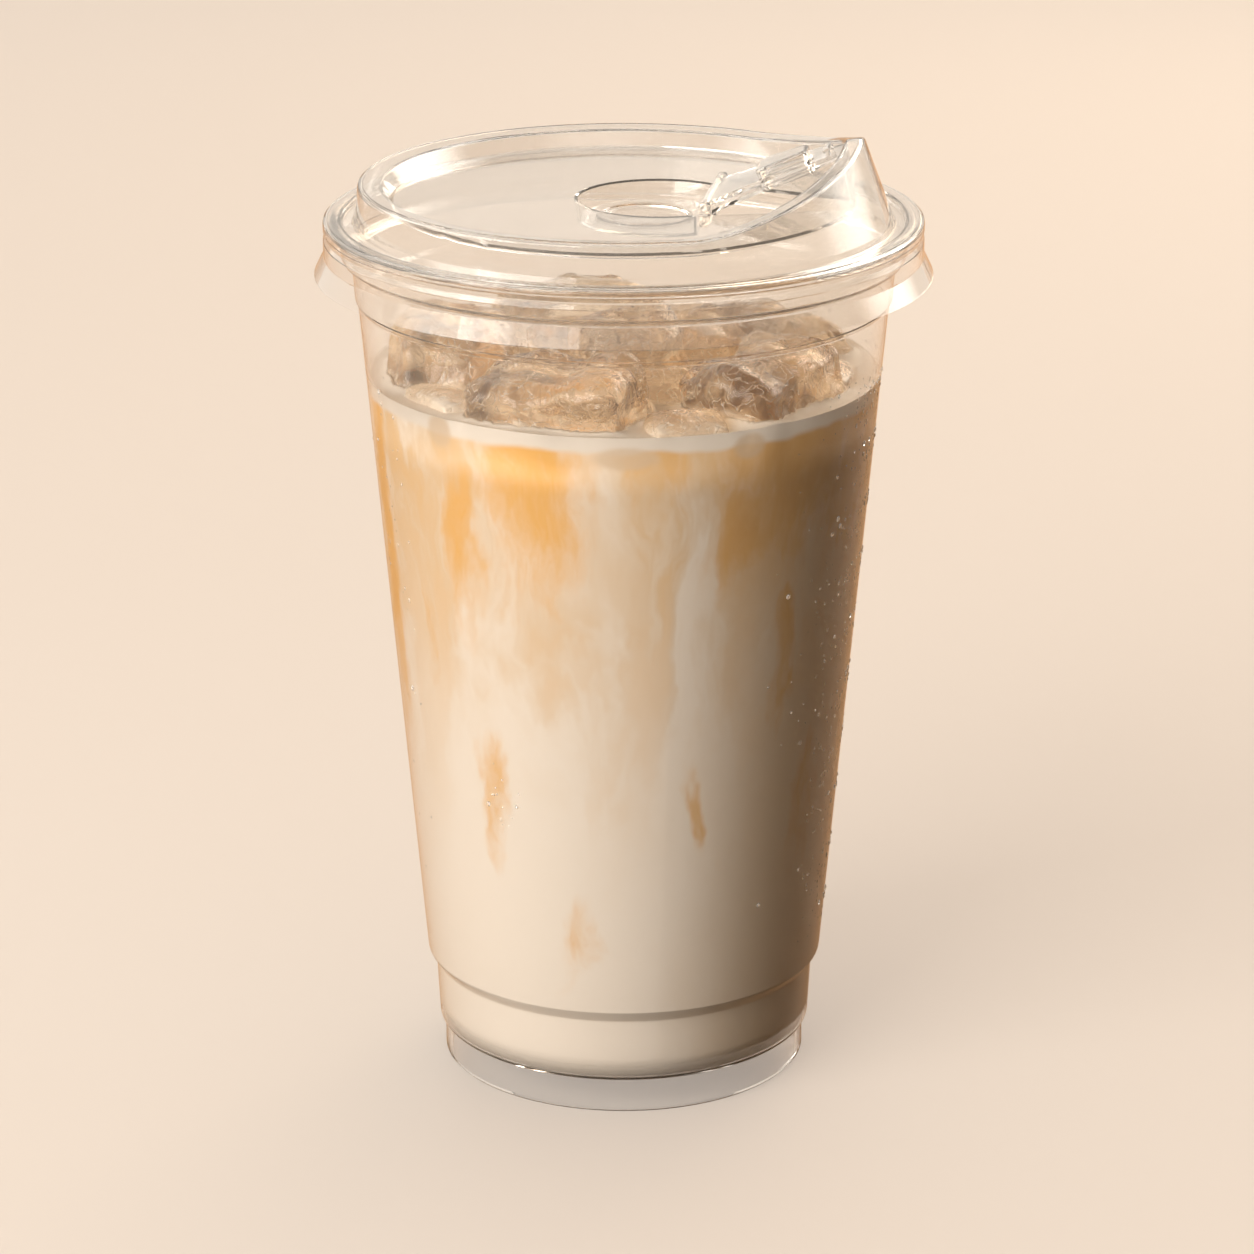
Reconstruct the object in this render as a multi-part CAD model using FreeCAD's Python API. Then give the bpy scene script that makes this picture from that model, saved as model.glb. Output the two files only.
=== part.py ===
"""Iced white chocolate mocha in a clear 24 oz cup with a sip lid.

Millimetres. +Z is up, the origin is the middle of the foot where the cup stands, and the lid's
spout points along +X. Pieces: the thin cup, the lid, the lid's hinged sip tab, the drink up to
its level, and the ice blocks that stand out of the drink.
"""
import FreeCAD
import Part
import math
import os

Vec = FreeCAD.Vector

# ---- cup: outside sizes; each step is measured from the one below it, or down from the rim ----
CUP_WALL = 0.5
FOOT_R = 31.7
FOOT_WALL = 1.1
FLOOR_Z = 6.1
FLOOR_THICK = 0.7
BAND_STEP = 0.9
BAND_FLARE = 0.6
BAND_H = 11.3
CONE_STEP = 1.4
CONE_STEP_RISE = 2.0
RIM_R = 49.5
RIM_TOP_Z = 150.2
RIM_ROLL_R = 0.75
RIM_OVERHANG = 3.55
NECK_DROP = 6.8
NECK_FLARE = 1.6
NECK_FLARE_RISE = 1.1
NECK_STEP = 1.05
NECK_H = 7.0
STACK_STEP = 0.5
STACK_STEP_RISE = 0.9
EDGE_ROUND = 0.9

# ---- lid: skirt, bead over the cup's rim, gutter, dome wall, top rim ----
LID_WALL = 0.5
LID_SIDE_FIT = 0.6
LID_TOP_FIT = 0.1
SKIRT_FLARE = 1.6
SKIRT_DROP = 9.5
FLARE_DROP = 6.2
SNAP_DROP = 2.6
SNAP_DEPTH = 0.35
SNAP_HALF_H = 0.9
GUTTER_FIT = 0.3
GUTTER_SLANT = 0.45
GUTTER_DEPTH = 0.9
GUTTER_WIDTH = 1.6
DOME_FOOT_H = 1.2
DOME_FOOT_STEP = 0.4
DOME_TAPER = 0.6
DOME_H = 6.0
RIM_BAND = 4.0
RIM_BAND_SLOPE = 0.5
LID_ROUND = 0.8
LINE_ROUND = 0.4
DECK_DROP = 2.4
DECK_INSET = 2.0
DECK_THICK = 0.5
LID_SECTIONS = 120
ARC_STEPS = 3

# ---- spout: how the lid's top rim climbs towards +X and leans back ----
SPOUT_H = 8.5
SPOUT_HALF_ANGLE = 64.0
SPOUT_POWER = 1.3
SPOUT_TIP_ROUND = 1.5
SPOUT_LEAN = 4.4
SPOUT_LEAN_POWER = 4.0
SPOUT_BAND_LOSS = 0.8

# ---- well in the deck, where the opened tab parks: round, with a flat side at the hinge ----
WELL_BACK = 9.2
WELL_R = 13.8
WELL_DEPTH = 3.4
WELL_DRAFT = 0.6
WELL_LAND = 0.9
WELL_RING_BACK = 2.4
WELL_RING_R = 7.2
WELL_RING_WIDTH = 1.2
WELL_RING_H = 0.5

# ---- ramp under the spout, with the sip hole ----
RAMP_RUN = 23.4
RAMP_ANGLE = 22.0
RAMP_HALF_START = 11.5
RAMP_HALF_END = 4.2
RAMP_GAP = 0.35
RAMP_WALL = 0.6
RAMP_OVERLAP = 0.5

# ---- sip tab and its hinge ----
BARREL_R = 0.85
BARREL_LIFT = 0.3
BARREL_HALF = 10.0
PIN_R = 0.45
PIN_FIT = 0.05
PIN_DEPTH = 1.5
LUG_GAP = 0.3
LUG_THICK = 1.5
TAB_THICK = 0.8
TAB_GAP = 0.25
TAB_END_GAP = 3.84
TAB_HALF_START = 9.0
TAB_HALF_END = 3.2
TAB_ROUND = 1.4
HOLE_START = 8.4
HOLE_END_GAP = 3.6
HOLE_HALF_START = 5.2
HOLE_HALF_END = 3.2
HOLE_ROUND = 1.5
PLUG_FIT = 0.3
PLUG_WALL = 0.6
PLUG_DOWN = 1.6
PLUG_UP = 1.5
PLUG_ROUND = 0.5
LIP_H = 0.6
LIP_LENGTH = 1.2
LIP_HALF = 2.2

# ---- drink and ice: a ring of blocks round a middle one; angles in degrees ----
DRINK_DROP = 13.1
DRINK_FIT = 0.1
ICE_FIT = 0.1
ICE_EDGE = 3.6
ICE_EDGE_MOST = 0.45
ICE_LENGTH = 18.0
ICE_HEIGHT = 20.0
ICE_SIZE_VARY = 1.0
ICE_SHOW = 8.0
ICE_SHOW_VARY = 1.6
ICE_WALL_GAP = 2.3
ICE_GAP = 0.94
ICE_RING_COUNT = 5
ICE_RING_START = -101.5
ICE_SPIN_VARY = 4.0
ICE_TILT_SIDE = 7.0
ICE_TILT_OUT = 8.0
ICE_MIDDLE_GAP = 8.3
ICE_MIDDLE_TRIM = 2.0
ICE_MIDDLE_LIFT = 2.5
ICE_MIDDLE_TURNS = (24.0, 6.0, -5.0)

# ---- worked out from the values above ----
BAND_LOW_R = FOOT_R + BAND_STEP
BAND_TOP_R = BAND_LOW_R + BAND_FLARE
BAND_TOP_Z = FLOOR_Z + BAND_H
CONE_LOW_R = BAND_TOP_R + CONE_STEP
CONE_LOW_Z = BAND_TOP_Z + CONE_STEP_RISE
NECK_R = RIM_R - RIM_OVERHANG
NECK_Z = RIM_TOP_Z - NECK_DROP
CONE_TOP_R = NECK_R - NECK_STEP
CONE_TOP_Z = NECK_Z - NECK_H
SHOULDER_Z = RIM_TOP_Z + LID_TOP_FIT + LID_WALL
BEAD_R = RIM_R + LID_SIDE_FIT + LID_WALL
GUTTER_R = RIM_R - 2 * RIM_ROLL_R - GUTTER_FIT - LID_WALL
DOME_BASE_R = GUTTER_R - GUTTER_WIDTH
RIM_Z = SHOULDER_Z + DOME_H
RIM_OUTER_R = DOME_BASE_R - DOME_FOOT_STEP - DOME_TAPER
DECK_R = RIM_OUTER_R - RIM_BAND - DECK_INSET
DECK_Z = RIM_Z - RIM_BAND_SLOPE - DECK_DROP
HINGE_X = DECK_R - RAMP_RUN
HINGE_Z = DECK_Z + BARREL_LIFT + BARREL_R
LUG_HALF = 1.1 * BARREL_R
WELL_X = HINGE_X - WELL_BACK
WELL_RING_X = WELL_X - WELL_RING_BACK
WELL_FLAT_X = HINGE_X - LUG_HALF - WELL_LAND
RAMP_START_X = HINGE_X + BARREL_R + RAMP_GAP
RAMP_BELOW_AXIS = TAB_THICK / 2 + TAB_GAP
TAB_LENGTH = RAMP_RUN / math.cos(math.radians(RAMP_ANGLE)) - TAB_END_GAP
HOLE_END = TAB_LENGTH - HOLE_END_GAP
ABOVE_ALL = RIM_Z + SPOUT_H
DRINK_Z = CONE_TOP_Z - DRINK_DROP


# ---------------------------------------------------------------- profiles

def unit(a, b):
    """Direction from a to b."""
    length = math.hypot(b[0] - a[0], b[1] - a[1])
    return ((b[0] - a[0]) / length, (b[1] - a[1]) / length)


def offset_line(points, distance):
    """The open line moved to the right of its direction by distance, corners mitred."""
    moved = []
    for i, p in enumerate(points):
        before = unit(points[i - 1], p) if i else unit(p, points[1])
        after = unit(p, points[i + 1]) if i + 1 < len(points) else before
        normal = (before[1] + after[1], -before[0] - after[0])
        scale = 2 * distance / (normal[0] ** 2 + normal[1] ** 2)
        moved.append((p[0] + normal[0] * scale, p[1] + normal[1] * scale))
    return moved


def rounded(corners, steps):
    """Points of the open line through corners (r, z, radius), each corner an arc of steps chords."""
    line = [corners[0][:2]]
    for before, here, after in zip(corners, corners[1:], corners[2:]):
        p, radius = here[:2], here[2]
        back, ahead = unit(p, before), unit(p, after)
        turn = math.pi - math.acos(max(-1.0, min(1.0, back[0] * ahead[0] + back[1] * ahead[1])))
        room = 0.45 * min(math.dist(p, before[:2]), math.dist(p, after[:2]))
        cut = min(radius * math.tan(turn / 2), room)
        radius = cut / math.tan(turn / 2)
        start = (p[0] + back[0] * cut, p[1] + back[1] * cut)
        middle = (back[0] + ahead[0], back[1] + ahead[1])
        reach = radius / math.cos(turn / 2) / math.hypot(*middle)
        centre = (p[0] + middle[0] * reach, p[1] + middle[1] * reach)
        side = 1 if back[0] * ahead[1] - back[1] * ahead[0] < 0 else -1
        first = math.atan2(start[1] - centre[1], start[0] - centre[0])
        for k in range(steps + 1):
            angle = first + side * turn * k / steps
            line.append((centre[0] + radius * math.cos(angle), centre[1] + radius * math.sin(angle)))
    line.append(corners[-1][:2])
    return line


def revolve(points):
    """The solid that a closed (r, z) outline sweeps about the Z axis."""
    corners = [Vec(r, 0, z) for r, z in points]
    face = Part.Face(Part.makePolygon(corners + corners[:1]))
    return face.revolve(Vec(0, 0, 0), Vec(0, 0, 1), 360)


# ---------------------------------------------------------------- cup

def cup_side():
    """Corners of the cup's outside from the floor's edge to the rim's roll."""
    return [
        (FOOT_R - FOOT_WALL, FLOOR_Z, 0),
        (BAND_LOW_R, FLOOR_Z, EDGE_ROUND),
        (BAND_TOP_R, BAND_TOP_Z, EDGE_ROUND),
        (CONE_LOW_R, CONE_LOW_Z, EDGE_ROUND),
        (CONE_TOP_R, CONE_TOP_Z, EDGE_ROUND / 2),
        (CONE_TOP_R + STACK_STEP, CONE_TOP_Z + STACK_STEP_RISE, EDGE_ROUND / 2),
        (NECK_R, NECK_Z, EDGE_ROUND / 2),
        (NECK_R + NECK_FLARE, NECK_Z + NECK_FLARE_RISE, EDGE_ROUND),
        (RIM_R - RIM_ROLL_R * 2 + CUP_WALL, RIM_TOP_Z - RIM_ROLL_R, 0),
    ]


def inner_side():
    """The cup's inside, from below its floor up to the rim's roll."""
    return offset_line(rounded(cup_side(), ARC_STEPS + 1), -CUP_WALL)


def floored(side, floor):
    """The part of a side line above floor, with the small cove that joins it to the floor."""
    wall = [p for p in side if p[1] > floor]
    return [(0, floor), (wall[0][0] - FLOOR_THICK, floor)] + wall


def foot():
    """The ring the cup stands on, with a bevelled edge."""
    inner = FOOT_R - FOOT_WALL
    bevel = FOOT_WALL / 3
    top = FLOOR_Z + FLOOR_THICK / 2
    inside = [(inner, top), (inner, bevel), (inner + bevel, 0)]
    outside = [(FOOT_R - bevel, 0), (FOOT_R, bevel), (FOOT_R, top)]
    return revolve(inside + outside)


def cup():
    outside = rounded(cup_side(), ARC_STEPS + 1)
    shell = revolve([(0, FLOOR_Z)] + outside + floored(inner_side(), FLOOR_Z + FLOOR_THICK)[::-1])
    roll = Part.makeTorus(RIM_R - RIM_ROLL_R, RIM_ROLL_R)
    roll.translate(Vec(0, 0, RIM_TOP_Z - RIM_ROLL_R))
    return shell.fuse([foot(), roll]).removeSplitter()


# ---------------------------------------------------------------- lid

def climb(angle):
    """How far the lid's top rim is raised at this angle from the spout, in degrees."""
    away = math.hypot(angle, SPOUT_TIP_ROUND) - SPOUT_TIP_ROUND
    return SPOUT_H * max(0.0, 1 - away / SPOUT_HALF_ANGLE) ** SPOUT_POWER


def lid_corners(raised):
    """Corners of the lid's top side, from the skirt's edge to the foot of the inner wall."""
    lean = SPOUT_LEAN * (1 - (1 - raised / SPOUT_H) ** SPOUT_LEAN_POWER)
    outer = RIM_OUTER_R - lean
    inner = outer - RIM_BAND + SPOUT_BAND_LOSS * raised / SPOUT_H
    gutter_z = SHOULDER_Z - GUTTER_DEPTH
    snap_z = SHOULDER_Z - SNAP_DROP
    return [
        (BEAD_R + SKIRT_FLARE, SHOULDER_Z - SKIRT_DROP, 0),
        (BEAD_R, SHOULDER_Z - FLARE_DROP, LINE_ROUND),
        (BEAD_R, snap_z - SNAP_HALF_H, LINE_ROUND),
        (BEAD_R - SNAP_DEPTH, snap_z, LINE_ROUND),
        (BEAD_R, snap_z + SNAP_HALF_H, LINE_ROUND),
        (BEAD_R, SHOULDER_Z, LID_ROUND),
        (GUTTER_R + GUTTER_SLANT, SHOULDER_Z, LINE_ROUND),
        (GUTTER_R, gutter_z, LINE_ROUND),
        (DOME_BASE_R, gutter_z, LINE_ROUND),
        (DOME_BASE_R - DOME_FOOT_STEP, gutter_z + DOME_FOOT_H, LINE_ROUND),
        (outer, RIM_Z + raised, LID_ROUND),
        (inner, RIM_Z - RIM_BAND_SLOPE + raised, LID_ROUND),
        (DECK_R, DECK_Z - DECK_THICK - LID_WALL / 2, 0),
    ]


def closed_spline(points):
    curve = Part.BSplineCurve()
    curve.interpolate(Points=points, PeriodicFlag=True)
    return curve.toShape()


def lid_ring():
    """The lid outside its deck: skirt, bead, gutter, dome wall, top rim with the spout, inner wall."""
    turns = [360.0 * k / LID_SECTIONS for k in range(LID_SECTIONS)]
    sections = []
    for turn in turns:
        top = rounded(lid_corners(climb(min(turn, 360 - turn))), ARC_STEPS)
        sections.append(top + offset_line(top, -LID_WALL)[::-1])
    hoops = []
    for k in range(len(sections[0])):
        ring = []
        for turn, section in zip(turns, sections):
            r, z = section[k]
            ring.append(Vec(r * math.cos(math.radians(turn)), r * math.sin(math.radians(turn)), z))
        hoops.append(closed_spline(ring))
    faces = [Part.makeRuledSurface(a, b) for a, b in zip(hoops, hoops[1:] + hoops[:1])]
    shell = Part.makeShell(faces)
    shell.sewShape()
    solid = Part.Solid(Part.Shell(shell.Faces))
    if solid.Volume < 0:
        solid.reverse()
    return solid


def quad(x0, half0, x1, half1):
    """Trapezium in plan, symmetrical about the X axis."""
    return [Vec(x0, -half0, 0), Vec(x1, -half1, 0), Vec(x1, half1, 0), Vec(x0, half0, 0)]


def prism(points, z0, z1):
    corners = [p + Vec(0, 0, z0) for p in points]
    return Part.Face(Part.makePolygon(corners + corners[:1])).extrude(Vec(0, 0, z1 - z0))


def edges_above(solid, height):
    return [e for e in solid.Edges if min(v.Z for v in e.Vertexes) > height]


def rounded_prism(points, z0, z1, radius):
    """A prism whose upright edges are rounded."""
    solid = prism(points, z0, z1)
    upright = [e for e in solid.Edges if abs(e.tangentAt(e.FirstParameter).z) > 0.999]
    return solid.makeFillet(radius, upright)


def onto_ramp(solid):
    """Turns a piece drawn flat, with the hinge axis as its Y axis, to lie along the ramp."""
    placed = solid.copy()
    placed.rotate(Vec(0, 0, 0), Vec(0, 1, 0), -RAMP_ANGLE)
    placed.translate(Vec(HINGE_X, 0, HINGE_Z))
    return placed


def under_ramp(lower):
    """Block below the ramp's top surface, moved down by lower."""
    reach = BEAD_R + SKIRT_FLARE
    top = -RAMP_BELOW_AXIS - lower
    return onto_ramp(Part.makeBox(2 * reach, 2 * reach, reach, Vec(-reach, -reach, top - reach)))


def ramp_plan(wall):
    return quad(RAMP_START_X + wall, RAMP_HALF_START - wall, DECK_R + RAMP_OVERLAP, RAMP_HALF_END - wall)


def inside_spout():
    """Everything up to the middle of the spout's inner wall."""
    low = DECK_Z - DECK_THICK
    top_r, top_z = lid_corners(SPOUT_H)[-2][:2]
    cone = Part.makeCone(DECK_R + LID_WALL / 2, top_r + LID_WALL / 2, top_z - low)
    cone.translate(Vec(0, 0, low))
    return cone


def ramp_outer():
    block = prism(ramp_plan(0), DECK_Z - DECK_THICK, ABOVE_ALL)
    return block.common(under_ramp(0)).common(inside_spout())


def ramp_inner():
    return prism(ramp_plan(RAMP_WALL), DECK_Z - 2 * DECK_THICK, ABOVE_ALL).common(under_ramp(RAMP_WALL))


def sip_outline(grow):
    """Plan of the sip hole, or of the plug in it, seen square to the ramp."""
    return quad(HOLE_START - grow, HOLE_HALF_START + grow, HOLE_END + grow, HOLE_HALF_END + grow)


def well_space(grow, top):
    """The well's hollow up to top, larger by grow at its side, its flat side and its floor."""
    low = DECK_Z - WELL_DEPTH - grow
    cone = Part.makeCone(WELL_R - WELL_DRAFT + grow, WELL_R + grow, top - low)
    cone.translate(Vec(WELL_X, 0, low))
    reach = 2 * WELL_R
    corner = Vec(WELL_FLAT_X + grow - 2 * reach, -reach, low - 1)
    keep = Part.makeBox(2 * reach, 2 * reach, 2 * reach, corner)
    return cone.common(keep)


def well_ring():
    """Low ring on the well's floor."""
    floor = DECK_Z - WELL_DEPTH
    slope = WELL_RING_WIDTH / 4
    ring = revolve([
        (WELL_RING_R, floor - DECK_THICK / 2),
        (WELL_RING_R + WELL_RING_WIDTH, floor - DECK_THICK / 2),
        (WELL_RING_R + WELL_RING_WIDTH - slope, floor + WELL_RING_H),
        (WELL_RING_R + slope, floor + WELL_RING_H),
    ])
    ring.translate(Vec(WELL_RING_X, 0, 0))
    return ring


def lug(side):
    """One of the two ears that carry the tab's hinge, with its pin."""
    near = BARREL_HALF + LUG_GAP
    base = DECK_Z - DECK_THICK / 2
    corner = Vec(HINGE_X - LUG_HALF, near if side > 0 else -near - LUG_THICK, base)
    ear = Part.makeBox(2 * LUG_HALF, LUG_THICK, HINGE_Z + BARREL_R - base, corner)
    along = [e for e in edges_above(ear, HINGE_Z) if abs(e.tangentAt(0).y) > 0.9]
    ear = ear.makeFillet(BARREL_R * 0.8, along)
    start = Vec(HINGE_X, side * (near + LUG_THICK / 2), HINGE_Z)
    return ear.fuse(Part.makeCylinder(PIN_R, LUG_THICK / 2 + LUG_GAP + PIN_DEPTH, start, Vec(0, -side, 0)))


def lid():
    deck = Part.makeCylinder(DECK_R, DECK_THICK, Vec(0, 0, DECK_Z - DECK_THICK))
    hole = rounded_prism(sip_outline(0), -RAMP_BELOW_AXIS - 5 * RAMP_WALL, RAMP_BELOW_AXIS, HOLE_ROUND)
    deck = deck.fuse([well_space(DECK_THICK, DECK_Z - DECK_THICK / 2), ramp_outer()])
    deck = deck.cut([well_space(0, DECK_Z + DECK_THICK), ramp_inner()]).cut(onto_ramp(hole))
    return lid_ring().fuse([deck, well_ring(), lug(-1), lug(1)])


def sip_tab():
    """The flap on the ramp: barrel, panel, finger lip, and the hollow plug that shuts the sip hole."""
    half = TAB_THICK / 2
    plug_low = -half - PLUG_DOWN
    plug_top = half + PLUG_UP
    panel = rounded_prism(quad(0, TAB_HALF_START, TAB_LENGTH, TAB_HALF_END), -half, half, TAB_ROUND)
    lip = prism(quad(TAB_LENGTH - LIP_LENGTH, LIP_HALF, TAB_LENGTH, LIP_HALF), 0, half + LIP_H)
    lip = lip.makeFillet(LIP_LENGTH / 4, edges_above(lip, half))
    plug = rounded_prism(sip_outline(-PLUG_FIT), plug_low, plug_top, HOLE_ROUND - PLUG_FIT)
    plug = plug.makeFillet(PLUG_ROUND, edges_above(plug, half))
    inside = sip_outline(-PLUG_FIT - PLUG_WALL)
    hollow = rounded_prism(inside, plug_low, plug_top - PLUG_WALL, HOLE_ROUND - PLUG_FIT - PLUG_WALL)
    barrel = Part.makeCylinder(BARREL_R, 2 * BARREL_HALF, Vec(0, -BARREL_HALF, 0), Vec(0, 1, 0))
    tab = panel.fuse([lip, plug, barrel]).cut(hollow)
    for side in (-1, 1):
        end = Vec(0, side * BARREL_HALF, 0)
        tab = tab.cut(Part.makeCylinder(PIN_R + PIN_FIT, PIN_DEPTH + LUG_GAP, end, Vec(0, -side, 0)))
    return onto_ramp(tab)


# ---------------------------------------------------------------- drink and ice

def ice_ring():
    """Radius of the ring of block middles, and the blocks' width: their outer corners clear the cup's wall."""
    low = DRINK_Z + ICE_SHOW - ICE_HEIGHT
    share = (low - CONE_LOW_Z) / (CONE_TOP_Z - CONE_LOW_Z)
    reach = CONE_LOW_R + share * (CONE_TOP_R - CONE_LOW_R) - CUP_WALL - ICE_WALL_GAP
    slope = math.tan(math.pi / ICE_RING_COUNT)
    lost = ICE_LENGTH * slope + ICE_GAP / 2
    square = 1 + slope * slope
    outer = (slope * lost + math.sqrt(square * reach * reach - lost * lost)) / square
    return outer - ICE_LENGTH / 2, 2 * (outer * slope - lost)


def waver(k, pace, phase):
    """An even-looking but irregular value from -1 to 1 for block k."""
    return math.sin(pace * k + phase)


def ice_places():
    """Each block's length, width and height, its middle, its turn about Z and its two tilts."""
    ring_r, ring_width = ice_ring()
    places = []
    for k in range(ICE_RING_COUNT):
        turn = ICE_RING_START + 360.0 * k / ICE_RING_COUNT
        width = ring_width - ICE_SIZE_VARY * abs(waver(k, 1.7, 0.0))
        height = ICE_HEIGHT + ICE_SIZE_VARY * waver(k, 2.9, 1.6)
        top = DRINK_Z + ICE_SHOW + ICE_SHOW_VARY * waver(k, 1.9, 0.8)
        out = Vec(math.cos(math.radians(turn)), math.sin(math.radians(turn)), 0) * ring_r
        middle = out + Vec(0, 0, top - height / 2)
        spin = turn + ICE_SPIN_VARY * waver(k, 2.3, 0.0)
        tilts = (ICE_TILT_SIDE * waver(k, 1.3, 1.0), ICE_TILT_OUT * waver(k, 2.1, 1.6))
        places.append(((ICE_LENGTH, width, height), middle, spin) + tilts)
    length = math.sqrt(2) * (ring_r - ICE_LENGTH / 2 - ICE_MIDDLE_GAP)
    size = (length, length - ICE_MIDDLE_TRIM, ICE_HEIGHT)
    middle = Vec(0, 0, DRINK_Z + ICE_SHOW + ICE_MIDDLE_LIFT - ICE_HEIGHT / 2)
    places.append((size, middle) + ICE_MIDDLE_TURNS)
    return places


def ice_block(place, grow):
    """A melted block: a box with large rounded edges, larger all round by grow."""
    size, middle, spin, tilt_x, tilt_y = place
    length, width, height = (s + 2 * grow for s in size)
    block = Part.makeBox(length, width, height, Vec(-length / 2, -width / 2, -height / 2))
    block = block.makeFillet(min(ICE_EDGE, ICE_EDGE_MOST * min(size)) + grow, block.Edges)
    block.rotate(Vec(0, 0, 0), Vec(1, 0, 0), tilt_x)
    block.rotate(Vec(0, 0, 0), Vec(0, 1, 0), tilt_y)
    block.rotate(Vec(0, 0, 0), Vec(0, 0, 1), spin)
    block.translate(middle)
    return block


def drink():
    """The liquid up to its level, clear of the cup's wall by the fit and cut round the ice."""
    side = floored(offset_line(inner_side(), -DRINK_FIT), FLOOR_Z + FLOOR_THICK + DRINK_FIT)
    wet = [p for p in side if p[1] < DRINK_Z]
    after = side[len(wet)]
    share = (DRINK_Z - wet[-1][1]) / (after[1] - wet[-1][1])
    brim = (wet[-1][0] + share * (after[0] - wet[-1][0]), DRINK_Z)
    filled = revolve(wet + [brim, (0, DRINK_Z)])
    for place in ice_places():
        filled = filled.cut(ice_block(place, ICE_FIT))
    return filled


def main():
    os.makedirs("parts", exist_ok=True)
    pieces = {"cup": cup(), "lid": lid(), "sip_tab": sip_tab(), "drink": drink()}
    for k, place in enumerate(ice_places()):
        pieces["ice_%d" % (k + 1)] = ice_block(place, 0)
    for name, shape in pieces.items():
        print(name, "solids", len(shape.Solids), "valid", shape.isValid(), "volume", round(shape.Volume, 1))
        shape.exportStep("parts/%s.step" % name)


main()
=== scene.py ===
"""Looks of the iced white chocolate mocha: clear cup and lid, marbled drink, wet ice, condensation.

Metres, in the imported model's frame: +Z up, the spout along +X. The front is the side that the
camera sees; angles round the cup are counted from there, positive to the camera's right.
"""
import math
import random

import bmesh
import bpy
import numpy as np
from mathutils import Matrix, Vector, noise
from mathutils.bvhtree import BVHTree


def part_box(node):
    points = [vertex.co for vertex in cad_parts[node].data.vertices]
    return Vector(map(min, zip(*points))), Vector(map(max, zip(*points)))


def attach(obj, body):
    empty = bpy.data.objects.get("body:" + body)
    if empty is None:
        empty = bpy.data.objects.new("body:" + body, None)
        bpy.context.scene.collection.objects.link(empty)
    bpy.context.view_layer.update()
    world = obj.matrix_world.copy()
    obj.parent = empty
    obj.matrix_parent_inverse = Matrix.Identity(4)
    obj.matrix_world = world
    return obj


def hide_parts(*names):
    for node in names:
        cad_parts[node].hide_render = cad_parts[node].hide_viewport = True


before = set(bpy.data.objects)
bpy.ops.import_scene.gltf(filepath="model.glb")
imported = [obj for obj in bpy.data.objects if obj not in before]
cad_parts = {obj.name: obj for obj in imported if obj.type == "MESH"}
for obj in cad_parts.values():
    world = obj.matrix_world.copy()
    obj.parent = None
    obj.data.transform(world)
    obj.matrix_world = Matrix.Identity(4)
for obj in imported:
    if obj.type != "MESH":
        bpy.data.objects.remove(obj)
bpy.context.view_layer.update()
BODY = "cup_body"
MM = 0.001

# ---- view ----
SPOUT_TURN = math.radians(8.5)      # the spout's angle towards the camera from the picture plane
CAMERA_BACK = 0.750
CAMERA_UP = 0.3322
CAMERA_PITCH = math.radians(18.761)
CAMERA_YAW = -0.00074
CAMERA_LENS = 131.15
CAMERA_SENSOR = 36.0
CAMERA_REACH = 20.0

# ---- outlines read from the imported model: a full ring has more points than this, and is wider ----
FULL_RING = 60
NARROWEST = 30 * MM

# ---- drink ----
DRINK_INTO_WALL = 0.25 * MM
DRINK_SEGMENTS = 480
DRINK_RINGS = 110
WALL_CREEP = 1.0 * MM
WALL_CREEP_REACH = 1.2 * MM
ICE_CREEP = 1.3 * MM
ICE_CREEP_REACH = 1.3 * MM
ICE_NEAR = 4.0 * MM
POCKET_MARGIN = 0.3 * MM
RIPPLE = 0.25 * MM

CREAM = (0.90, 0.77, 0.635)
# CREAM_TAN is both the coffee's tan towards the top and the painted shade on the right side
CREAM_TAN = (0.75, 0.53, 0.32)
AMBER = (0.80, 0.41, 0.10)
BROWN = (0.52, 0.30, 0.13)
ICED_BROWN = (0.68, 0.46, 0.27)
FOAM = (0.80, 0.685, 0.565)
SUNK_ICE = (0.66, 0.47, 0.30)

SHADED_SIDE = 80       # angle of the shaded side, away from the key light, where painted shade browns the cream most
# streaks of coffee: angle from the front in degrees, top and bottom height in mm, half width in degrees,
# strength, and how brown instead of amber
STREAKS = [
    (-20, 134, 90, 14, 1.0, 0.0),
    (-39, 117, 84, 5, 0.75, 0.0),
    (-73, 134, 58, 6, 0.95, 0.1),
    (-54, 94, 66, 4.5, 0.5, 0.1),
    (-34, 66, 44, 4, 0.62, 0.1),
    (-12, 46, 22, 7, 0.5, 0.1),
    (8, 134, 109, 10, 0.6, 0.2),
    (46, 134, 92, 34, 0.85, 0.6),
    (28, 122, 96, 7, 0.95, 0.3),
    (41, 92, 64, 5, 0.75, 0.4),
    (19, 64, 48, 2.8, 0.65, 0.35),
    (63, 122, 94, 9, 1.0, 0.4),
    (55, 68, 42, 6, 0.5, 0.4),
    (98, 124, 88, 12, 0.8, 0.3),
    (130, 112, 70, 8, 0.7, 0.2),
    (172, 124, 92, 13, 0.9, 0.1),
    (-150, 104, 72, 7, 0.7, 0.1),
    (-122, 124, 88, 13, 0.9, 0.1),
    (-98, 100, 62, 6, 0.6, 0.1),
]
# ice that touches the wall at the drink's edge: angle in degrees, height, half width and half height in mm
WALL_SPOTS = [
    (-44, 122.0, 3.3, 3.6),
    (0.5, 120.7, 6.4, 2.5),
    (28, 121.6, 3.5, 2.7),
    (115, 121, 5, 2.6),
    (-150, 121, 5, 2.6),
]

# ---- ice ----
ICE_IOR = 1.31
ICE_VOXEL = 0.7 * MM
ICE_TO_WALL = 2.2 * MM      # how far the blocks melt out towards the wall
SHARD_BOXINESS = 0.55       # 0 for a ball, 1 for a box
SHARD_RELIEF = 0.45

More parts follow.
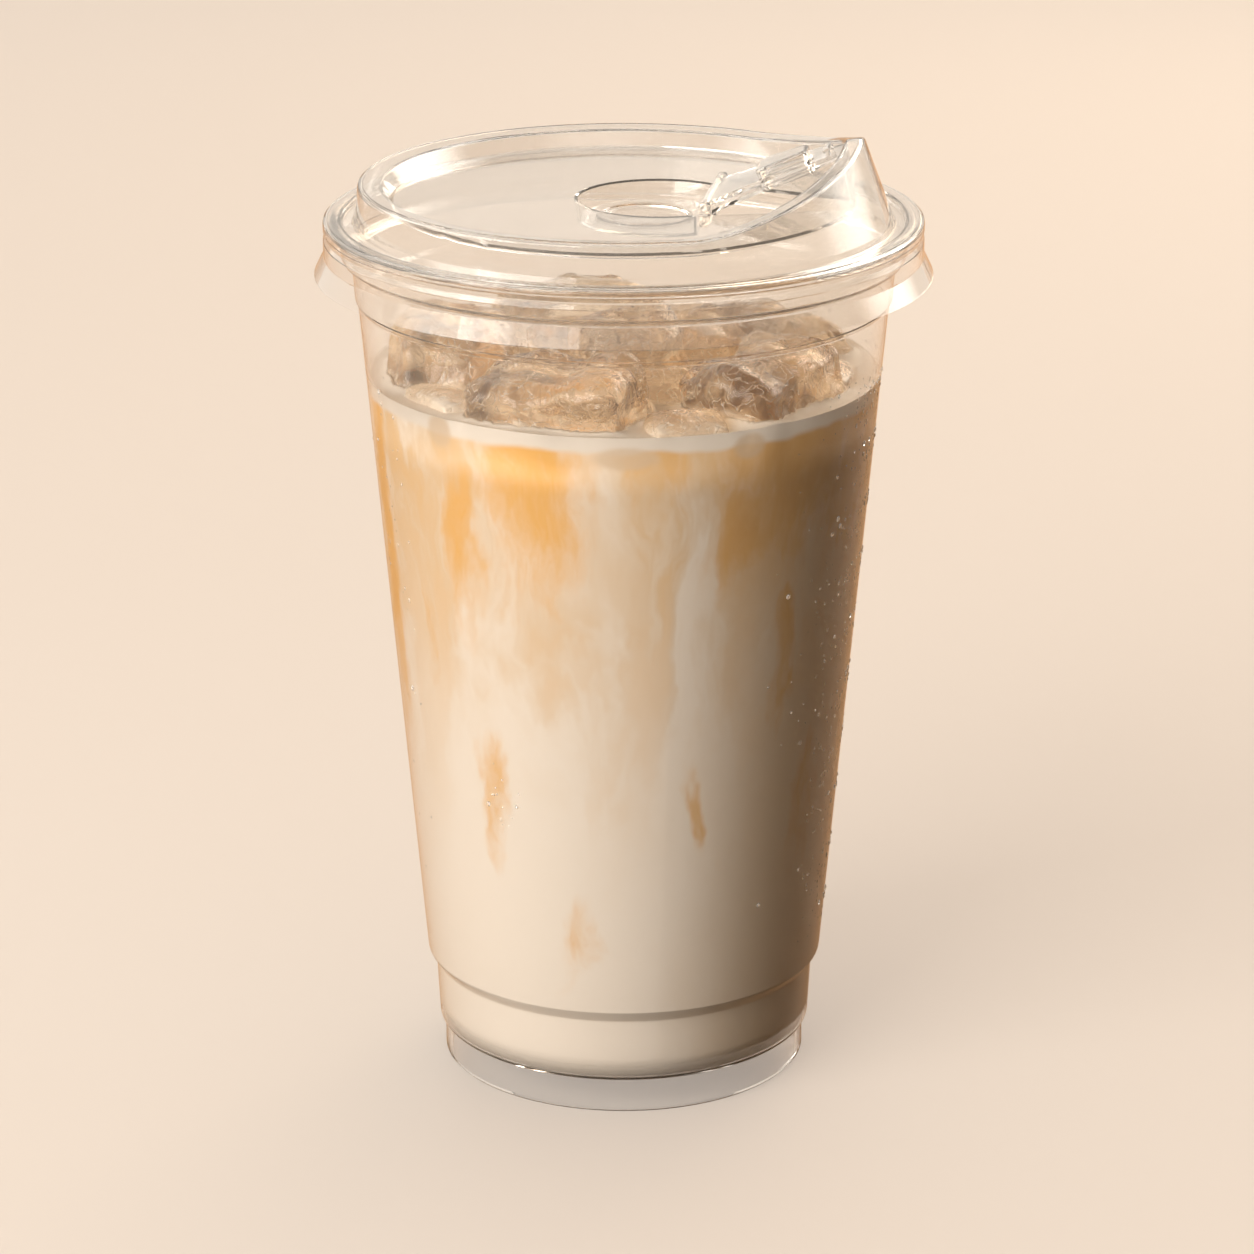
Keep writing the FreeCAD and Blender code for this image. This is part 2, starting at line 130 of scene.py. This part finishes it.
# ---- cup, lid and condensation ----
PLASTIC_IOR = 1.42
CUP_TINT = (0.97, 0.96, 0.945)
LID_TINT = (0.935, 0.92, 0.90)
WATER_IOR = 1.33
DROPS = 2600
DROP_LOW, DROP_HIGH = 0.021, 0.128
DROP_SINK = 0.04 * MM
DROP_SIDES, DROP_TIERS = 8, 3

# ---- studio ----
FLOOR_RADIUS = 3.0
FLOOR_SIDES = 96
FLOOR_GLOW = 0.358

# bright patches of the studio: angle and height in degrees, inner and outer half size in degrees, strength
GLOWS = [(-72, 25, 2, 26, 5.0), (128, 30, 3, 30, 7.0), (-150, 45, 5, 25, 2.0), (20, 60, 5, 25, 1.5)]

# small pieces of ice between the blocks: angle in degrees, distance from the axis, top above the drink,
# length along the wall, width and height, in mm
SHARDS = [
    (-58, 35, 2.2, 15, 9, 9),
    (16, 36, 2.6, 14, 8, 8),
    (84, 34, 3.0, 16, 9, 9),
    (158, 34, 4.0, 16, 10, 10),
    (-128, 33, 3.2, 17, 10, 10),
    (14, 17, 5.5, 15, 12, 10),
    (-58, 17, 5.0, 13, 12, 10),
    (120, 17, 6.0, 14, 12, 10),
    (-148, 17, 6.0, 14, 12, 10),
]


def turned(x, y, z):
    """A place given by the camera's right, depth and up, in the model's frame."""
    return Matrix.Rotation(SPOUT_TURN, 3, "Z") @ Vector((x, y, z))


def round_cup(angle):
    """Unit vector from the axis towards an angle from the front, in degrees."""
    a = math.radians(angle)
    return turned(math.sin(a), -math.cos(a), 0)


# ---------------------------------------------------------------- nodes

class Tree:
    """Short calls for building the nodes of a material or a world."""

    def __init__(self, owner):
        self.owner = owner
        owner.use_nodes = True
        self.nodes = owner.node_tree.nodes
        self.links = owner.node_tree.links
        self.nodes.clear()
        coordinates = self.add("ShaderNodeTexCoord")
        self.place = coordinates.outputs["Object"]
        self.direction = coordinates.outputs["Generated"]

    def add(self, kind, **values):
        node = self.nodes.new(kind)
        for key, value in values.items():
            setattr(node, key, value)
        return node

    def filled(self, node, inputs):
        """The node with its named inputs linked or set."""
        for key, value in inputs.items():
            self.put(node.inputs[key], value)
        return node

    def put(self, socket, value):
        """Links value if it is a socket, or sets it; a colour may leave out its alpha."""
        if isinstance(value, bpy.types.NodeSocket):
            self.links.new(value, socket)
        elif socket.type == "RGBA":
            socket.default_value = (*value[:3], 1)
        else:
            socket.default_value = value

    def math(self, operation, *values, clamp=False):
        node = self.add("ShaderNodeMath", operation=operation, use_clamp=clamp)
        for socket, value in zip(node.inputs, values):
            self.put(socket, value)
        return node.outputs[0]

    def vector(self, operation, *values, out="Vector"):
        node = self.add("ShaderNodeVectorMath", operation=operation)
        for socket, value in zip(node.inputs, values):
            self.put(socket, value)
        return node.outputs[out]

    def ramp(self, value, low, high, to_low=0.0, to_high=1.0):
        """Smooth step of value from low to high."""
        node = self.add("ShaderNodeMapRange", interpolation_type="SMOOTHSTEP")
        inputs = {"Value": value, "From Min": low, "From Max": high, "To Min": to_low, "To Max": to_high}
        return self.filled(node, inputs).outputs["Result"]

    def noise(self, place, scale, detail=3.0, rough=0.55, distortion=0.0):
        inputs = {"Vector": place, "Scale": scale, "Detail": detail, "Roughness": rough}
        inputs["Distortion"] = distortion
        return self.filled(self.add("ShaderNodeTexNoise"), inputs)

    def split(self, vector):
        """The three parts of a vector."""
        node = self.add("ShaderNodeSeparateXYZ")
        self.links.new(vector, node.inputs[0])
        return node.outputs

    def mix(self, share, a, b):
        """Colour a where share is 0 and b where it is 1."""
        node = self.add("ShaderNodeMix", data_type="RGBA")
        self.put(node.inputs[0], share)
        self.put(node.inputs[6], a)
        self.put(node.inputs[7], b)
        return node.outputs[2]

    def bump(self, height, strength, distance):
        inputs = {"Height": height, "Strength": strength, "Distance": distance}
        return self.filled(self.add("ShaderNodeBump"), inputs).outputs["Normal"]

    def surface(self, **values):
        """The Principled shader with these inputs; underscores stand for spaces."""
        inputs = {key.replace("_", " "): value for key, value in values.items()}
        return self.filled(self.add("ShaderNodeBsdfPrincipled"), inputs).outputs[0]

    def finish(self, shader, kind="ShaderNodeOutputMaterial"):
        self.links.new(shader, self.add(kind).inputs["Surface"])
        return self.owner

    def finish_clear(self, shader, tint):
        """A clear shader that lets the lamps through."""
        through = self.filled(self.add("ShaderNodeBsdfTransparent"), {"Color": tint}).outputs[0]
        shadow = self.add("ShaderNodeLightPath").outputs["Is Shadow Ray"]
        return self.finish(self.mix_shaders(shadow, shader, through))

    def mix_shaders(self, share, a, b):
        """Shader a where share is 0 and b where it is 1."""
        node = self.add("ShaderNodeMixShader")
        self.put(node.inputs[0], share)
        self.links.new(a, node.inputs[1])
        self.links.new(b, node.inputs[2])
        return node.outputs[0]


def new_material(name):
    return Tree(bpy.data.materials.new(name))


# ---------------------------------------------------------------- materials

def clear_plastic(name, wave, tint):
    """Thermoformed PET: clear and glossy, with a faint waviness."""
    t = new_material(name)
    slow = t.noise(t.place, 60.0, 1.0).outputs[0]
    shader = t.surface(
        Base_Color=tint,
        Transmission_Weight=0.98,
        IOR=PLASTIC_IOR,
        Roughness=t.ramp(slow, 0.35, 0.7, 0.015, 0.05),
        Normal=t.bump(slow, wave, 0.2 * MM),
    )
    return t.finish_clear(shader, (0.955, 0.95, 0.94))


def ice_material(level):
    """Wet melting ice: clear, with cloudy patches and fine cracks, tinted by the drink around it."""
    t = new_material("wet_ice")
    lumps = t.noise(t.place, 130.0, 3.0, 0.6, 0.6).outputs[0]
    veins = t.noise(t.place, 380.0, 1.0, 0.6, 0.8).outputs[0]
    crack = t.ramp(t.math("ABSOLUTE", t.math("SUBTRACT", veins, 0.5)), 0.0, 0.022, 1.0, 0.0)
    cloud = t.ramp(lumps, 0.48, 0.70)
    washed_z = t.math("MULTIPLY_ADD", lumps, -5.0 * MM, t.split(t.place)["Z"])
    washed = t.ramp(washed_z, level - 2.6 * MM, level + 0.2 * MM, 1.0, 0.0)
    tint = t.mix(cloud, (0.94, 0.85, 0.71), (0.86, 0.69, 0.49))
    normal = t.bump(t.math("MULTIPLY_ADD", crack, -0.2, lumps), 0.5, 1.4 * MM)
    roughness = t.ramp(lumps, 0.4, 0.75, 0.02, 0.2)
    clear = t.surface(
        Base_Color=tint, Transmission_Weight=1.0, IOR=ICE_IOR, Roughness=roughness, Normal=normal
    )
    cloudy = t.mix(crack, (0.68, 0.49, 0.31), (0.93, 0.84, 0.73))
    milky = t.surface(Base_Color=t.mix(washed, cloudy, (0.88, 0.75, 0.60)), Roughness=0.2, Normal=normal)
    share = t.math("MULTIPLY_ADD", cloud, 0.30, t.math("MULTIPLY", crack, 0.25))
    share = t.math("MULTIPLY_ADD", washed, 0.65, share, clamp=True)
    return t.finish_clear(t.mix_shaders(share, clear, milky), (0.88, 0.81, 0.71))


def water_material():
    """Condensed water in small drops."""
    t = new_material("condensation")
    wobble = t.bump(t.noise(t.place, 1500.0, 1.0).outputs[0], 0.1, 0.1 * MM)
    shader = t.surface(
        Base_Color=(0.95, 0.93, 0.90), Transmission_Weight=0.8, IOR=WATER_IOR, Roughness=0.02, Normal=wobble
    )
    return t.finish_clear(shader, (0.97, 0.97, 0.97))


def streak_share(t, flat, height, streak):
    """How strongly one streak of coffee shows at a place."""
    angle, top, bottom, half_width, strength, brown = streak
    away = t.vector("DISTANCE", flat, tuple(round_cup(angle)), out="Value")
    half = math.radians(half_width)
    across = t.ramp(away, half * 0.15, half * 1.5, strength, 0.0)
    soft = 0.25 * (top - bottom)
    rise = t.ramp(height, (bottom - soft) * MM, (bottom + 2.2 * soft) * MM)
    fall = t.ramp(height, (top - soft) * MM, (top + soft) * MM, 1.0, 0.0)
    return t.math("MULTIPLY", across, t.math("MULTIPLY", rise, fall))


def wandering(t):
    """How far each place is pushed aside, so that streaks and edges run unevenly."""
    stretched = t.vector("MULTIPLY", t.place, (1.0, 1.0, 0.5))
    wander = t.noise(stretched, 60.0, 4.0, 0.6).outputs["Color"]
    return t.vector("MULTIPLY", t.vector("SUBTRACT", wander, (0.5, 0.5, 0.5)), (0.016, 0.016, 0.034))


def marbled_colour(t, place, level):
    """Cream that turns tan towards the top and, as painted shade, browner towards the shaded right side,
    with the streaks of coffee in it.
    """
    z = t.split(place)["Z"]
    flat = t.vector("NORMALIZE", t.vector("MULTIPLY", place, (1.0, 1.0, 0.0)))
    grain = t.noise(t.vector("MULTIPLY", place, (1.0, 1.0, 0.33)), 150.0, 4.0, 0.62).outputs[0]
    marble = t.noise(t.vector("MULTIPLY", place, (1.0, 1.0, 0.30)), 55.0, 4.0, 0.58, 0.8).outputs[0]
    upper = t.ramp(z, 0.30 * level, 0.95 * level)
    light, dark = 0.0, 0.0
    for streak in STREAKS:
        share = streak_share(t, flat, z, streak)
        light = t.math("MAXIMUM", light, share)
        dark = t.math("MAXIMUM", dark, t.math("MULTIPLY", share, streak[-1]))
    flecked = t.math("MULTIPLY_ADD", t.math("SUBTRACT", grain, 0.5), 1.3, t.math("MULTIPLY", light, 1.1))
    drifting = t.math("MULTIPLY", t.ramp(marble, 0.47, 0.70), t.math("MULTIPLY", upper, 0.36))
    coffee = t.math("MAXIMUM", t.ramp(flecked, 0.15, 1.15), drifting, clamp=True)

    tan = t.math("MULTIPLY", upper, t.ramp(marble, 0.36, 0.60, 0.15, 1.0))
    # painted shade: the cream turns tan on the side away from the key light, standing in for the shade
    # there
    to_right = t.vector("DOT_PRODUCT", flat, tuple(round_cup(SHADED_SIDE)), out="Value")
    painted_shade = t.ramp(to_right, 0.3, 0.95, 0.0, 0.75)
    colour = t.mix(t.math("MAXIMUM", tan, painted_shade), CREAM, CREAM_TAN)
    colour = t.mix(coffee, colour, AMBER)
    return t.mix(t.math("MULTIPLY", dark, coffee), colour, BROWN)


def wall_ice(t, shift):
    """1 where sunk ice touches the wall, down to -0.6 in the pale rim round it, else 0 or more."""
    bent = t.vector("ADD", t.place, t.vector("MULTIPLY", shift, (0.12, 0.12, 0.04)))
    spots = 0.0
    for angle, height, half_width, half_height in WALL_SPOTS:
        middle = round_cup(angle) * SIDE_R + Vector((0, 0, height * MM))
        offset = t.vector("SUBTRACT", bent, tuple(middle))
        shrink = (1 / (half_width * MM), 1 / (half_width * MM), 1 / (half_height * MM))
        away = t.vector("LENGTH", t.vector("MULTIPLY", offset, shrink), out="Value")
        from_rim = t.math("ABSOLUTE", t.math("SUBTRACT", away, 1.12))
        spots = t.math("MAXIMUM", spots, t.ramp(away, 0.55, 1.0, 1.0, 0.0))
        spots = t.math("MINIMUM", spots, t.ramp(from_rim, 0.0, 0.12, -0.6, 1.0))
    return spots


def iced_share(t, level):
    """How brown the drink's top is between the blocks of ice, away from the wall."""
    z = t.split(t.place)["Z"]
    radius = t.vector("LENGTH", t.vector("MULTIPLY", t.place, (1.0, 1.0, 0.0)), out="Value")
    inner = t.ramp(radius, SIDE_R - 9 * MM, SIDE_R - 2.5 * MM, 1.0, 0.0)
    near_top = t.ramp(z, level - 15 * MM, level - 12 * MM)
    not_creeping = t.ramp(z, level - 1 * MM, level + 1.2 * MM, 1.0, 0.4)
    swirl = t.ramp(t.noise(t.place, 95.0, 2.0, 0.6).outputs[0], 0.35, 0.68, 0.35, 1.0)
    shown = t.math("MULTIPLY", t.math("MINIMUM", near_top, not_creeping), swirl)
    return t.math("MULTIPLY", inner, shown)


def drink_material(level):
    """Milky coffee: marbled cream with streaks that sink from the top, a pale edge, and ice at the wall."""
    t = new_material("milky_coffee")
    shift = wandering(t)
    colour = marbled_colour(t, t.vector("ADD", t.place, shift), level)

    edge_noise = t.noise(t.place, 75.0, 2.0).outputs[0]
    edge_z = t.math("MULTIPLY_ADD", edge_noise, 3.0 * MM, t.split(t.place)["Z"])
    edge = t.ramp(edge_z, level - 0.8 * MM, level + 0.5 * MM)
    spots = wall_ice(t, shift)
    colour = t.mix(edge, colour, FOAM)
    colour = t.mix(t.math("MULTIPLY", t.math("MAXIMUM", spots, 0.0), 0.75), colour, SUNK_ICE)
    colour = t.mix(t.math("MAXIMUM", t.math("MULTIPLY", spots, -1.0), 0.0), colour, FOAM)
    colour = t.mix(iced_share(t, level), colour, ICED_BROWN)

    froth = t.noise(t.place, 800.0, 0.0).outputs[0]
    return t.finish(t.surface(Base_Color=colour, Roughness=0.35, Normal=t.bump(froth, 0.10, 0.15 * MM)))


def seen_straight(t):
    """1 for camera, glossy and transmission rays, 0 for the light that lands on things."""
    path = t.add("ShaderNodeLightPath").outputs
    seen = t.math("MAXIMUM", path["Is Camera Ray"], path["Is Glossy Ray"])
    return t.math("MAXIMUM", seen, path["Is Transmission Ray"])


def floor_material():
    """Pale to the eye, also through glass, and darker and browner in the light it throws on the cup."""
    t = new_material("pale_floor")
    cloud = t.noise(t.place, 3.0, 1.0).outputs[0]
    pale = t.mix(cloud, (0.315, 0.275, 0.235), (0.325, 0.285, 0.245))
    path = t.add("ShaderNodeLightPath").outputs
    seen = t.math("MAXIMUM", path["Is Camera Ray"], path["Is Transmission Ray"])
    colour = t.mix(seen, (0.44, 0.25, 0.11), pale)
    glow = t.math("MULTIPLY", seen, FLOOR_GLOW)
    shader = t.surface(
        Base_Color=colour, Roughness=0.6, Emission_Color=(0.925, 0.835, 0.765), Emission_Strength=glow
    )
    return t.finish(shader)


# ---------------------------------------------------------------- meshes

def mesh_object(name, points, faces, material):
    mesh = bpy.data.meshes.new(name)
    mesh.from_pydata([tuple(p) for p in points], [], faces)
    mesh.validate()
    mesh.polygons.foreach_set("use_smooth", [True] * len(mesh.polygons))
    mesh.materials.append(material)
    obj = bpy.data.objects.new(name, mesh)
    bpy.context.scene.collection.objects.link(obj)
    return obj


def side_line(node):
    """(height, radius) of each full ring of a turned CAD node, from the bottom up: its outermost line."""
    points = np.array([v.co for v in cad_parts[node].data.vertices])
    radius = np.hypot(points[:, 0], points[:, 1])
    rings = {}
    for z, r in zip(np.round(points[:, 2], 5), radius):
        rings.setdefault(z, []).append(r)
    return [(z, max(rs)) for z, rs in sorted(rings.items()) if len(rs) > FULL_RING and max(rs) > NARROWEST]


def ice_relief(place, shift):
    """How far melted ice swells or sinks from its block, in mm: swells, and hollows with ridges between."""
    broad = noise.noise(place / (14 * MM) + shift) * 2.4
    hollow = noise.voronoi(place / (8.5 * MM) + shift * 2)[0][0] * 2.8
    small = noise.voronoi(place / (3.6 * MM) + shift * 3)[0][0] * 0.45
    return broad + hollow + small - 2.0


def ice_chunk(node, seed, material):
    """A melting, dented block over the CAD block's place."""
    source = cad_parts[node]
    obj = source.copy()
    obj.data = source.data.copy()
    obj.parent = None
    for key in list(obj.keys()):
        del obj[key]
    obj.name = "chunk_" + node
    bpy.context.scene.collection.objects.link(obj)
    remesh = obj.modifiers.new("even", "REMESH")
    remesh.mode = "VOXEL"
    remesh.voxel_size = ICE_VOXEL
    graph = bpy.context.evaluated_depsgraph_get()
    mesh = bpy.data.meshes.new_from_object(obj.evaluated_get(graph))
    obj.modifiers.clear()
    obj.data = mesh
    shift = Vector((seed * 1.7, seed * -2.3, seed * 0.9))
    normals = [v.normal.copy() for v in mesh.vertices]
    for v, normal in zip(mesh.vertices, normals):
        outward = Vector((v.co.x, v.co.y, 0)).normalized()
        swell = ICE_TO_WALL * max(0.0, normal.dot(outward))
        v.co += normal * ice_relief(v.co, shift) * MM + outward * swell
    mesh.polygons.foreach_set("use_smooth", [True] * len(mesh.polygons))
    mesh.materials.clear()
    mesh.materials.append(material)
    mesh.update()
    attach(obj, BODY)
    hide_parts(node)
    return obj


def ice_shards(material):
    """Small rounded pieces of ice that float between the blocks."""
    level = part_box("drink")[1].z
    made = bmesh.new()
    for k, (angle, away, show, length, width, height) in enumerate(SHARDS):
        middle = round_cup(angle) * away * MM + Vector((0, 0, level + (show - height / 2) * MM))
        shift = Vector((k * 2.1, k * -1.3, k * 0.7))
        stretch = Vector((length, width, height)) * MM / 2
        verts = bmesh.ops.create_icosphere(made, subdivisions=5, radius=1.0)["verts"]
        heading = Matrix.Rotation(math.radians(angle) + SPOUT_TURN, 3, "Z")
        turn = heading @ Matrix.Rotation(0.3 * math.sin(k), 3, "X")
        for v in verts:
            box = v.co / max(abs(v.co.x), abs(v.co.y), abs(v.co.z))
            shape = v.co.lerp(box, SHARD_BOXINESS)
            place = middle + turn @ Vector((shape.x * stretch.x, shape.y * stretch.y, shape.z * stretch.z))
            away_from = (place - middle).normalized()
            v.co = place + away_from * ice_relief(place, shift) * MM * SHARD_RELIEF
    mesh = bpy.data.meshes.new("ice_shards")
    made.to_mesh(mesh)
    made.free()
    mesh.polygons.foreach_set("use_smooth", [True] * len(mesh.polygons))
    mesh.materials.append(material)
    obj = bpy.data.objects.new("ice_shards", mesh)
    bpy.context.scene.collection.objects.link(obj)
    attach(obj, BODY)
    return obj


def ice_trees(chunks):
    """For each chunk, a search tree of its surface."""
    trees = []
    for chunk in chunks:
        places = [v.co for v in chunk.data.vertices]
        trees.append(BVHTree.FromPolygons(places, [p.vertices for p in chunk.data.polygons]))
    return trees


def surface_height(x, y, level, wall_gap, trees):
    """Height of the drink's top: level, creeping up the wall and the ice, and a pocket under each chunk."""
    rise = WALL_CREEP * math.exp(-wall_gap / WALL_CREEP_REACH)
    rise += RIPPLE * noise.noise(Vector((x, y, 0)) / (6 * MM))
    place, up = Vector((x, y, level)), Vector((0, 0, 1))
    for tree in trees:
        hit, normal, _, gap = tree.find_nearest(place, ICE_NEAR)
        if hit is None:
            bottom = tree.ray_cast(place, -up)[0]
            if bottom and tree.ray_cast(place, up)[0]:
                return bottom.z + POCKET_MARGIN
            continue
        outside = normal.dot(place - hit) > 0
        if not outside and gap > POCKET_MARGIN:
            bottom = tree.ray_cast(place, -up)[0]
            if bottom:
                return min(level, bottom.z + POCKET_MARGIN)
        if outside:
            rise += ICE_CREEP * math.exp(-gap / ICE_CREEP_REACH)
    return level + rise


def drink_body(chunks, material):
    """The drink: its side and base reach into the wall, and its top is cut round the ice."""
    line = side_line("drink")
    low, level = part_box("drink")[0].z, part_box("drink")[1].z
    side = [(z, r + DRINK_INTO_WALL) for z, r in line if z > low + 0.3 * MM]
    side[-1] = (level + WALL_CREEP, side[-1][1])
    trees = ice_trees(chunks)
    n = DRINK_SEGMENTS
    turns = [(math.cos(2 * math.pi * k / n), math.sin(2 * math.pi * k / n)) for k in range(n)]
    base = low - DRINK_INTO_WALL
    points, faces = [(0, 0, base)], []
    rings = [(base, side[0][1] * 0.5), (base, side[0][1] - 0.6 * MM)] + side
    for z, r in rings:
        points += [(r * c, r * s, z) for c, s in turns]
    top_r = side[-1][1]
    for ring in range(1, DRINK_RINGS):
        r = top_r * (1 - ring / DRINK_RINGS)
        points += [(r * c, r * s, surface_height(r * c, r * s, level, top_r - r, trees)) for c, s in turns]
    points.append((0, 0, surface_height(0, 0, level, top_r, trees)))
    count = len(rings) + DRINK_RINGS - 1
    for k in range(n):
        after = (k + 1) % n
        faces.append((0, 1 + after, 1 + k))
        for ring in range(count - 1):
            a, b = 1 + ring * n, 1 + (ring + 1) * n
            faces.append((a + k, a + after, b + after, b + k))
        last = 1 + (count - 1) * n
        faces.append((last + k, last + after, len(points) - 1))
    obj = mesh_object("marbled_drink", points, faces, material)
    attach(obj, BODY)
    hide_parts("drink")
    return obj


def drop(place, outward, radius, height):
    """Points and faces of one drop: a low dome whose base lies just inside the wall."""
    across = outward.cross(Vector((0, 0, 1))).normalized()
    up = across.cross(outward).normalized()
    points = []
    for tier in range(DROP_TIERS):
        share = tier / DROP_TIERS
        r = radius * math.cos(share * math.pi / 2)
        lift = height * math.sin(share * math.pi / 2)
        for k in range(DROP_SIDES):
            a = 2 * math.pi * k / DROP_SIDES
            points.append(place + across * (r * math.cos(a)) + up * (r * math.sin(a)) + outward * lift)
    points.append(place + outward * height)
    faces = [tuple(range(DROP_SIDES))]
    for tier in range(DROP_TIERS - 1):
        a, b = tier * DROP_SIDES, (tier + 1) * DROP_SIDES
        for k in range(DROP_SIDES):
            after = (k + 1) % DROP_SIDES
            faces.append((a + k, b + k, b + after, a + after))
    top = (DROP_TIERS - 1) * DROP_SIDES
    faces += [(top + k, len(points) - 1, top + (k + 1) % DROP_SIDES) for k in range(DROP_SIDES)]
    return points, faces


def condensation(material):
    """Fine drops on the outside of the cup, most of them round its right side and back, a few in front."""
    line = side_line("cup")
    heights, radii = [z for z, r in line], [r for z, r in line]
    pick = random.Random(11)
    points, faces = [], []
    for k in range(DROPS):
        angle = pick.gauss(84, 14) if k % 4 else pick.uniform(75, 300)
        z = DROP_LOW + (DROP_HIGH - DROP_LOW) * pick.random() ** 0.7
        if k % 130 == 0:
            angle, z = pick.gauss(-33, 3), pick.gauss(0.056, 0.003)
        outward = round_cup(angle)
        size = (0.14 + 0.40 * pick.random() ** 3) * MM
        place = outward * (float(np.interp(z, heights, radii)) - DROP_SINK) + Vector((0, 0, z))
        made, sides = drop(place, outward, size, size * 0.6)
        faces += [tuple(len(points) + i for i in f) for f in sides]
        points += made
    obj = mesh_object("condensation_drops", points, faces, material)
    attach(obj, BODY)
    return obj


# ---------------------------------------------------------------- stage

def floor():
    turns = [2 * math.pi * k / FLOOR_SIDES for k in range(FLOOR_SIDES)]
    points = [(FLOOR_RADIUS * math.cos(a), FLOOR_RADIUS * math.sin(a), 0) for a in turns]
    obj = mesh_object("floor", points, [tuple(range(FLOOR_SIDES))], floor_material())


def camera():
    data = bpy.data.cameras.new("camera")
    data.lens = CAMERA_LENS
    data.sensor_width = CAMERA_SENSOR
    data.clip_end = CAMERA_REACH
    obj = bpy.data.objects.new("camera", data)
    obj.location = turned(0, -CAMERA_BACK, CAMERA_UP)
    obj.rotation_euler = (math.pi / 2 - CAMERA_PITCH, 0, SPOUT_TURN + CAMERA_YAW)
    bpy.context.scene.collection.objects.link(obj)
    bpy.context.scene.camera = obj


def softbox(name, place, aim, width, height, power, colour):
    """A lamp that lights things but isn't mirrored in them; the studio's glow is."""
    data = bpy.data.lights.new(name, "AREA")
    data.shape = "RECTANGLE"
    data.size, data.size_y = width, height
    data.energy = power
    data.color = colour
    obj = bpy.data.objects.new(name, data)
    obj.location = place
    obj.rotation_euler = (place - aim).to_track_quat("Z", "Y").to_euler()
    obj.visible_glossy = False
    bpy.context.scene.collection.objects.link(obj)


def glow(t, direction, angle, lift, narrow, wide, strength):
    """A soft bright patch of the studio: full inside narrow, gone at wide degrees from its middle."""
    up = math.radians(lift)
    towards = round_cup(angle) * math.cos(up) + Vector((0, 0, math.sin(up)))
    near = t.vector("DOT_PRODUCT", direction, tuple(towards), out="Value")
    return t.ramp(near, math.cos(math.radians(wide)), math.cos(math.radians(narrow)), 0.0, strength)


def studio():
    """Pale room, dimmer and browner towards the right front; its soft bright patches only show mirrored."""
    t = Tree(bpy.data.worlds.new("studio"))
    direction = t.vector("NORMALIZE", t.direction)
    bright_side = round_cup(-115) * 0.8 + Vector((0, 0, 0.6))
    side = t.vector("DOT_PRODUCT", direction, tuple(bright_side), out="Value")
    lit = t.mix(t.ramp(side, -0.8, 0.6), (0.50, 0.26, 0.09), (1.00, 0.83, 0.64))
    seen = t.mix(t.ramp(side, -1.0, 0.2), (0.60, 0.50, 0.40), (0.90, 0.82, 0.73))
    mirrored = t.mix(t.ramp(side, -1.0, 0.2), (0.50, 0.33, 0.18), (0.90, 0.82, 0.73))
    glows = 0.0
    for patch in GLOWS:
        glows = t.math("ADD", glows, glow(t, direction, *patch))
    shine = t.vector("ADD", mirrored, t.vector("MULTIPLY", glows, (1.0, 0.97, 0.92)))
    path = t.add("ShaderNodeLightPath").outputs
    colour = t.mix(seen_straight(t), lit, t.mix(path["Is Glossy Ray"], seen, shine))
    back = t.filled(t.add("ShaderNodeBackground"), {"Color": colour})
    bpy.context.scene.world = t.finish(back.outputs[0], "ShaderNodeOutputWorld")


def lights():
    aim = Vector((0, 0, 0.09))
    softbox("key", turned(-0.66, -0.72, 0.50), aim, 0.8, 0.8, 16.6, (1.0, 0.98, 0.95))
    softbox("rim", turned(0.35, 0.85, 0.60), aim, 0.5, 0.6, 4.0, (1.0, 0.80, 0.58))
    studio()


# ---------------------------------------------------------------- build

def build():
    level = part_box("drink")[1].z
    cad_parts["cup"].material_slots[0].material = clear_plastic("clear_cup", 0.10, CUP_TINT)
    lid = clear_plastic("clear_lid", 0.14, LID_TINT)
    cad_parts["lid"].material_slots[0].material = lid
    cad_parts["sip_tab"].material_slots[0].material = lid
    frozen = ice_material(level)
    names = sorted(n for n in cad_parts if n.startswith("ice_"))
    chunks = [ice_chunk(n, k + 1, frozen) for k, n in enumerate(names)]
    ice_shards(frozen)
    drink_body(chunks, drink_material(level))
    condensation(water_material())


SIDE_R = max(r for z, r in side_line("drink")) + DRINK_INTO_WALL
build()
floor()
camera()
lights()
bpy.context.scene.view_settings.view_transform = "Standard"
cycles = bpy.context.scene.cycles
cycles.max_bounces = 12
cycles.transmission_bounces = 12
cycles.transparent_max_bounces = 16
cycles.diffuse_bounces = 2
cycles.glossy_bounces = 10
cycles.adaptive_threshold = 0.1
cycles.light_sampling_threshold = 0.05
cycles.caustics_reflective = False
cycles.caustics_refractive = False
